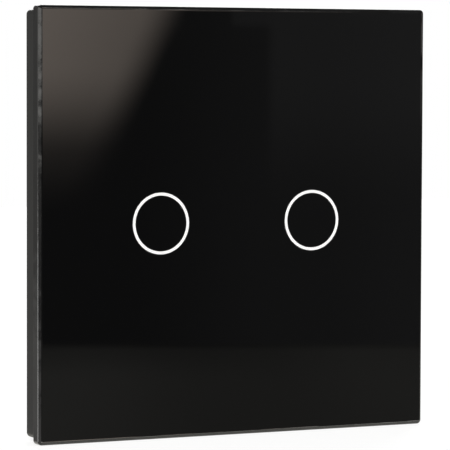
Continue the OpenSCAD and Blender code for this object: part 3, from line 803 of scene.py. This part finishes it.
def addCamera(look):
    data = bpy.data.cameras.new("camera")
    data.lens, data.sensor_width = look["lens"], look["sensor"]
    data.clip_start, data.clip_end = look["nearest"], look["farthest"]
    camera = linked("camera", data)
    aim = (Matrix.Rotation(math.radians(look["yawDeg"]), 4, "Z")
           @ Matrix.Rotation(math.radians(look["pitchDeg"]), 4, "X")
           @ Matrix.Rotation(math.radians(look["rollDeg"]), 4, "Y")
           @ Matrix.Rotation(math.radians(90), 4, "X"))
    camera.matrix_world = Matrix.Translation(look["place"]) @ aim
    bpy.context.scene.camera = camera


addCamera(cameraPlace)

# world: white where it is seen, a dim room in front and a paler one behind for what is mirrored
# pairs are shares of a direction, between which a patch of the room comes in, or goes out at its end and top
roomLook = {"ambient": 0.3, "warm": (1.0, 0.985, 0.945), "front": 0.05,
            "above": 0.08, "aboveRise": (0.35, 0.95),
            "behind": 0.17, "behindRise": (0.45, 0.95), "behindLow": 0.15, "behindLowRise": (0.062, 0.088),
            "left": 0.15, "leftRise": (0.6, 0.85), "leftMid": 0.2, "leftMidRise": (-0.062, -0.05),
            "leftHigh": 2.6, "leftHighRise": (-0.016, 0.002), "leftHighEnd": (-0.2, 0.05),
            "leftLow": 0.75, "leftLowRise": (0.092, 0.1), "leftBack": 0.9, "leftBackRise": (0.03, 0.1),
            "frontLeft": 2.0, "frontLeftRise": (-0.36, -0.25), "frontLeftAhead": (0.2, 0.5),
            "frontLeftFoot": (-0.026, -0.006), "frontLeftTop": (0.15, 0.3)}


def roomWorld(look):
    world = bpy.data.worlds.new("room")
    bpy.context.scene.world = world
    world.use_nodes = True
    world.node_tree.nodes.clear()
    sheet = NodeSheet(world.node_tree)
    seen = sheet.ray("Camera").most(sheet.ray("Transmission"))
    mirrored = sheet.ray("Glossy") * (1 - seen)
    across, depth, height = sheet.add("ShaderNodeTexCoord", out="Generated").axes()
    leftward, ahead, below = 0 - across, 0 - depth, 0 - height
    atLeft = leftward.rise(*look["leftRise"])
    above = height.rise(*look["aboveRise"]) * look["above"]
    behind = depth.rise(*look["behindRise"]) * (
        look["behind"] + below.rise(*look["behindLowRise"]) * look["behindLow"])
    left = atLeft * (
        look["left"] + height.rise(*look["leftMidRise"]) * look["leftMid"]
        + height.rise(*look["leftHighRise"]) * (1 - depth.rise(*look["leftHighEnd"])) * look["leftHigh"]
        + below.rise(*look["leftLowRise"]) * look["leftLow"]
        + depth.rise(*look["leftBackRise"]) * look["leftBack"])
    frontLeft = (leftward.rise(*look["frontLeftRise"]) * (1 - atLeft) * ahead.rise(*look["frontLeftAhead"])
                 * height.rise(*look["frontLeftFoot"]) * (1 - height.rise(*look["frontLeftTop"])))
    level = look["front"] + behind + left + frontLeft * look["frontLeft"] + above
    shade = sheet.add("ShaderNodeBackground", None, {
        "Color": sheet.mix(seen, look["warm"], white),
        "Strength": seen + mirrored * level + (1 - seen - mirrored) * look["ambient"]})
    sheet.add("ShaderNodeOutputWorld", None, {"Surface": shade})


roomWorld(roomLook)


def stageCard(name, corners, finish):
    mesh = bpy.data.meshes.new(name)
    mesh.from_pydata(corners, [], [(0, 1, 2, 3)])
    mesh.materials.append(finish)
    card = linked(name, mesh)
    return card


# floor: pale, white to the camera, and dull in front of the panel where the glass mirrors it
# lead is the way in from its front edge, side the way to the right along that edge
floorLook = {"gapMm": 0.05, "backMm": 900.0, "leftMm": -44.5, "rightMm": 1300.0, "frontMm": -186.0,
             "frontAtMm": 76.0, "skewDeg": 25.5, "restLowerMm": 0.01, "pale": 0.8, "haze": 0.96,
             "hazeMm": 30.0, "shown": 0.38, "glow": 0.78, "warm": (1.0, 0.985, 0.91)}
floorMirror = {"front": 0.19, "edgeLeft": 0.3, "edgeRight": 0.6, "stripLeft": 0.66, "stripRight": 0.92,
               "rightMm": (-30.0, 30.0), "stripMm": (0.0, 24.0), "fullMm": (10.0, 110.0), "leftGain": 0.42,
               "leftGainMm": (8.0, 45.0), "rightGain": 0.22, "rightGainMm": (6.0, 36.0),
               "near": 6.0, "nearMm": (-11.6, -10.2), "nearGain": 0.4, "nearGainMm": (22.0, 40.0),
               "under": 0.9, "underMm": (-9.6, -9.0), "behind": 0.33, "behindMm": (8.0, 20.0),
               "besideMm": (44.0, 46.0)}


def floorMirrorLevel(sheet, look, mirror):  # how bright the floor is to what mirrors it
    across, depth, _ = sheet.place().axes()
    skew = math.radians(look["skewDeg"])
    lead = depth - across * math.tan(skew) + (look["frontAtMm"] * math.tan(skew) - look["frontMm"]) * mm
    side = across * math.cos(skew) + depth * math.sin(skew)
    right = side.riseMm(*mirror["rightMm"])
    edge = mirror["edgeLeft"] + right * (mirror["edgeRight"] - mirror["edgeLeft"])
    strip = mirror["stripLeft"] + right * (mirror["stripRight"] - mirror["stripLeft"])
    level = (edge + lead.riseMm(*mirror["stripMm"]) * (strip - edge)
             + lead.riseMm(*mirror["fullMm"]) * (1 - strip))
    gain = (1 + (0 - side).riseMm(*mirror["leftGainMm"]) * mirror["leftGain"]
            + side.riseMm(*mirror["rightGainMm"]) * mirror["rightGain"])
    plain = mirror["front"] * level * gain
    near = depth.riseMm(*mirror["nearMm"])
    under = depth.riseMm(*mirror["underMm"])
    beyond = depth.riseMm(*mirror["behindMm"]).most(abs(across).riseMm(*mirror["besideMm"]))
    nearLevel = mirror["near"] * (1 + across.riseMm(*mirror["nearGainMm"]) * mirror["nearGain"])
    foot = nearLevel + under * (mirror["under"] - nearLevel)
    before = (1 - near) * plain + near * foot
    return before * (1 - beyond) + beyond * (plain + under * (mirror["behind"] - plain))


def floorFinish(look, mirror):
    finish, sheet = startFinish("floorPaint")
    haze = sheet.noise(sheet.place(), look["hazeMm"])

    def paint(tone):
        return sheet.add("ShaderNodeBsdfDiffuse", None, {
            "Color": sheet.mix(haze, (tone,) * 3, (tone * look["haze"],) * 3)})

    dull = sheet.add("ShaderNodeEmission", None, {
        "Color": (*look["warm"], 1.0), "Strength": floorMirrorLevel(sheet, look, mirror)})
    glow = sheet.add("ShaderNodeEmission", None, {"Strength": look["glow"]})
    shadowed = sheet.add("ShaderNodeAddShader", None, {0: glow, 1: paint(look["pale"] * look["shown"])})
    plain = paint(look["pale"])
    mirrored = sheet.add("ShaderNodeMixShader", None, {0: sheet.ray("Glossy"), 1: plain, 2: dull})
    shown = sheet.add("ShaderNodeMixShader", None, {0: sheet.ray("Camera"), 1: mirrored, 2: shadowed})
    sheet.add("ShaderNodeOutputMaterial", None, {"Surface": shown})
    return finish


def floorCards(look, mirror):
    finish = floorFinish(look, mirror)
    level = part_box("glass_panel")[0].z - look["gapMm"] * mm
    left, right, back = [look[name] * mm for name in ("leftMm", "rightMm", "backMm")]
    # the front edge runs square to the mirrored view
    slope = math.tan(math.radians(look["skewDeg"]))
    leftFront, rightFront = [(look["frontMm"] + (look[name] - look["frontAtMm"]) * slope) * mm
                             for name in ("leftMm", "rightMm")]
    stageCard("floor", [(left, leftFront, level), (right, rightFront, level), (right, back, level),
                        (left, back, level)], finish)
    # the rest of the floor is only seen: it is not mirrored, lights nothing and casts no shadow
    lower = level - look["restLowerMm"] * mm
    rest = stageCard("floorRest", [(-right, -right, lower), (right, -right, lower), (right, back, lower),
                                   (-right, back, lower)], finish)
    rest.visible_diffuse = False
    rest.visible_glossy = False
    rest.visible_shadow = False


floorCards(floorLook, floorMirror)

# card in front, on the right, that the panel mirrors: a soft window at its upper left, paler to the right
# pairs are shares of the mirrored panel's width and height, from its upper left corner
frontCardLook = {"awayMm": 1000.0, "spare": 0.35, "spareTop": 5.0, "dim": 0.055, "warm": (1.0, 0.857, 0.748),
                 "window": 1.38, "slant": 0.51, "windowSide": (0.26, 0.38), "fadeFrom": 0.06, "fade": 1.25,
                 "windowFoot": (0.125, 0.345), "tail": 0.3, "tailFoot": (0.2, 0.48),
                 "rising": 0.046, "risingRise": (0.2, 0.62), "farRight": 0.03, "farRightRise": (0.7, 1.0),
                 "paler": 0.07, "palerRise": (0.565, 0.605), "palerFoot": (0.15, 0.5),
                 "topStrip": 0.06, "topStripRise": (0.475, 0.495), "topStripFoot": (0.03, 0.055),
                 "upper": 1.8, "upperRise": (0.45, 0.52), "upperFoot": (-1.0, -0.45),
                 "upperGain": 0.4, "upperGainRise": (0.6, 0.75)}


def mirroredAt(place, away):  # where the view that the glass mirrors meets the card
    eye = Vector(cameraPlace["place"])
    stride = away / (place.y - eye.y)
    return place.x + (place.x - eye.x) * stride, place.z + (place.z - eye.z) * stride


def frontCardFinish(look, left, right, low, top):
    finish, sheet = startFinish("frontCard")
    x, _, z = sheet.place().axes()
    across = (x - left) / (right - left)
    down = (top - z) / (top - low)
    slope = across + down * look["slant"]
    side = (1 - slope.rise(*look["windowSide"])) * (1 - (slope - look["fadeFrom"]) * look["fade"])
    foot = (1 - down.rise(*look["windowFoot"])) + (1 - down.rise(*look["tailFoot"])) * look["tail"]
    rightHalf = across.rise(*look["palerRise"])
    paler = (across.rise(*look["risingRise"]) * look["rising"]
             + across.rise(*look["farRightRise"]) * look["farRight"]
             + rightHalf * (1 - down.rise(*look["palerFoot"])) * look["paler"]
             + across.rise(*look["topStripRise"]) * (1 - rightHalf) * (1 - down.rise(*look["topStripFoot"]))
             * look["topStrip"])
    # over the panel's mirror image, so only its top edge leans far enough to show it
    upper = (across.rise(*look["upperRise"]) * (1 + across.rise(*look["upperGainRise"]) * look["upperGain"])
             * (1 - down.rise(*look["upperFoot"])) * look["upper"])
    window = sheet.add("ShaderNodeEmission", None, {
        "Color": (*look["warm"], 1.0), "Strength": side * foot * (look["window"] / look["warm"][1])})
    plain = sheet.add("ShaderNodeEmission", None, {"Strength": paler + upper + look["dim"]})
    sheet.add("ShaderNodeOutputMaterial", None, {
        "Surface": sheet.add("ShaderNodeAddShader", None, {0: window, 1: plain})})
    return finish


def frontCard(look):
    glassLow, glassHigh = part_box("glass_panel")
    away = look["awayMm"] * mm
    left, low = mirroredAt(glassLow, away)
    right, top = mirroredAt(Vector((glassHigh.x, glassLow.y, glassHigh.z)), away)
    spareX, spareZ = look["spare"] * (right - left), look["spare"] * (top - low)
    leftEnd, rightEnd, foot = left - spareX, right + spareX, low - spareZ
    peak = top + look["spareTop"] * (top - low)
    depth = glassLow.y - away
    card = stageCard("frontCard", [(leftEnd, depth, foot), (rightEnd, depth, foot), (rightEnd, depth, peak),
                                   (leftEnd, depth, peak)], frontCardFinish(look, left, right, low, top))
    card.visible_camera = False
    card.visible_diffuse = False
    card.visible_transmission = False
    card.visible_shadow = False


frontCard(frontCardLook)

# soft lamps; key and fill are kept out of mirrors, so that no bright pane shows on glass and black plastic
lamps = {"key": {"place": (-0.9, -1.25, 0.95), "size": (0.9, 0.9), "watts": 24.0, "mirrored": False},
         "fill": {"place": (0.924, -1.182, 0.90), "size": (0.74, 0.74), "watts": 5.0, "mirrored": False},
         "rear": {"place": (0.7, 1.3, 0.9), "size": (1.0, 1.0), "watts": 20.0, "mirrored": True},
         "rearLeft": {"place": (-1.22, 0.445, -0.175), "size": (0.7, 0.21), "watts": 2.8, "mirrored": True}}
for name, look in lamps.items():
    lampData = bpy.data.lights.new(name, "AREA")
    lampData.shape = "RECTANGLE"
    lampData.size, lampData.size_y = look["size"]
    lampData.energy = look["watts"]
    lamp = linked(name, lampData)
    lamp.location = look["place"]
    lamp.rotation_mode = "QUATERNION"
    lamp.rotation_quaternion = (-Vector(look["place"])).to_track_quat("-Z", "Y")
    lamp.visible_camera = False
    lamp.visible_glossy = look["mirrored"]
bpy.context.scene.view_settings.view_transform = "Standard"
print("camera, room and lamps set")
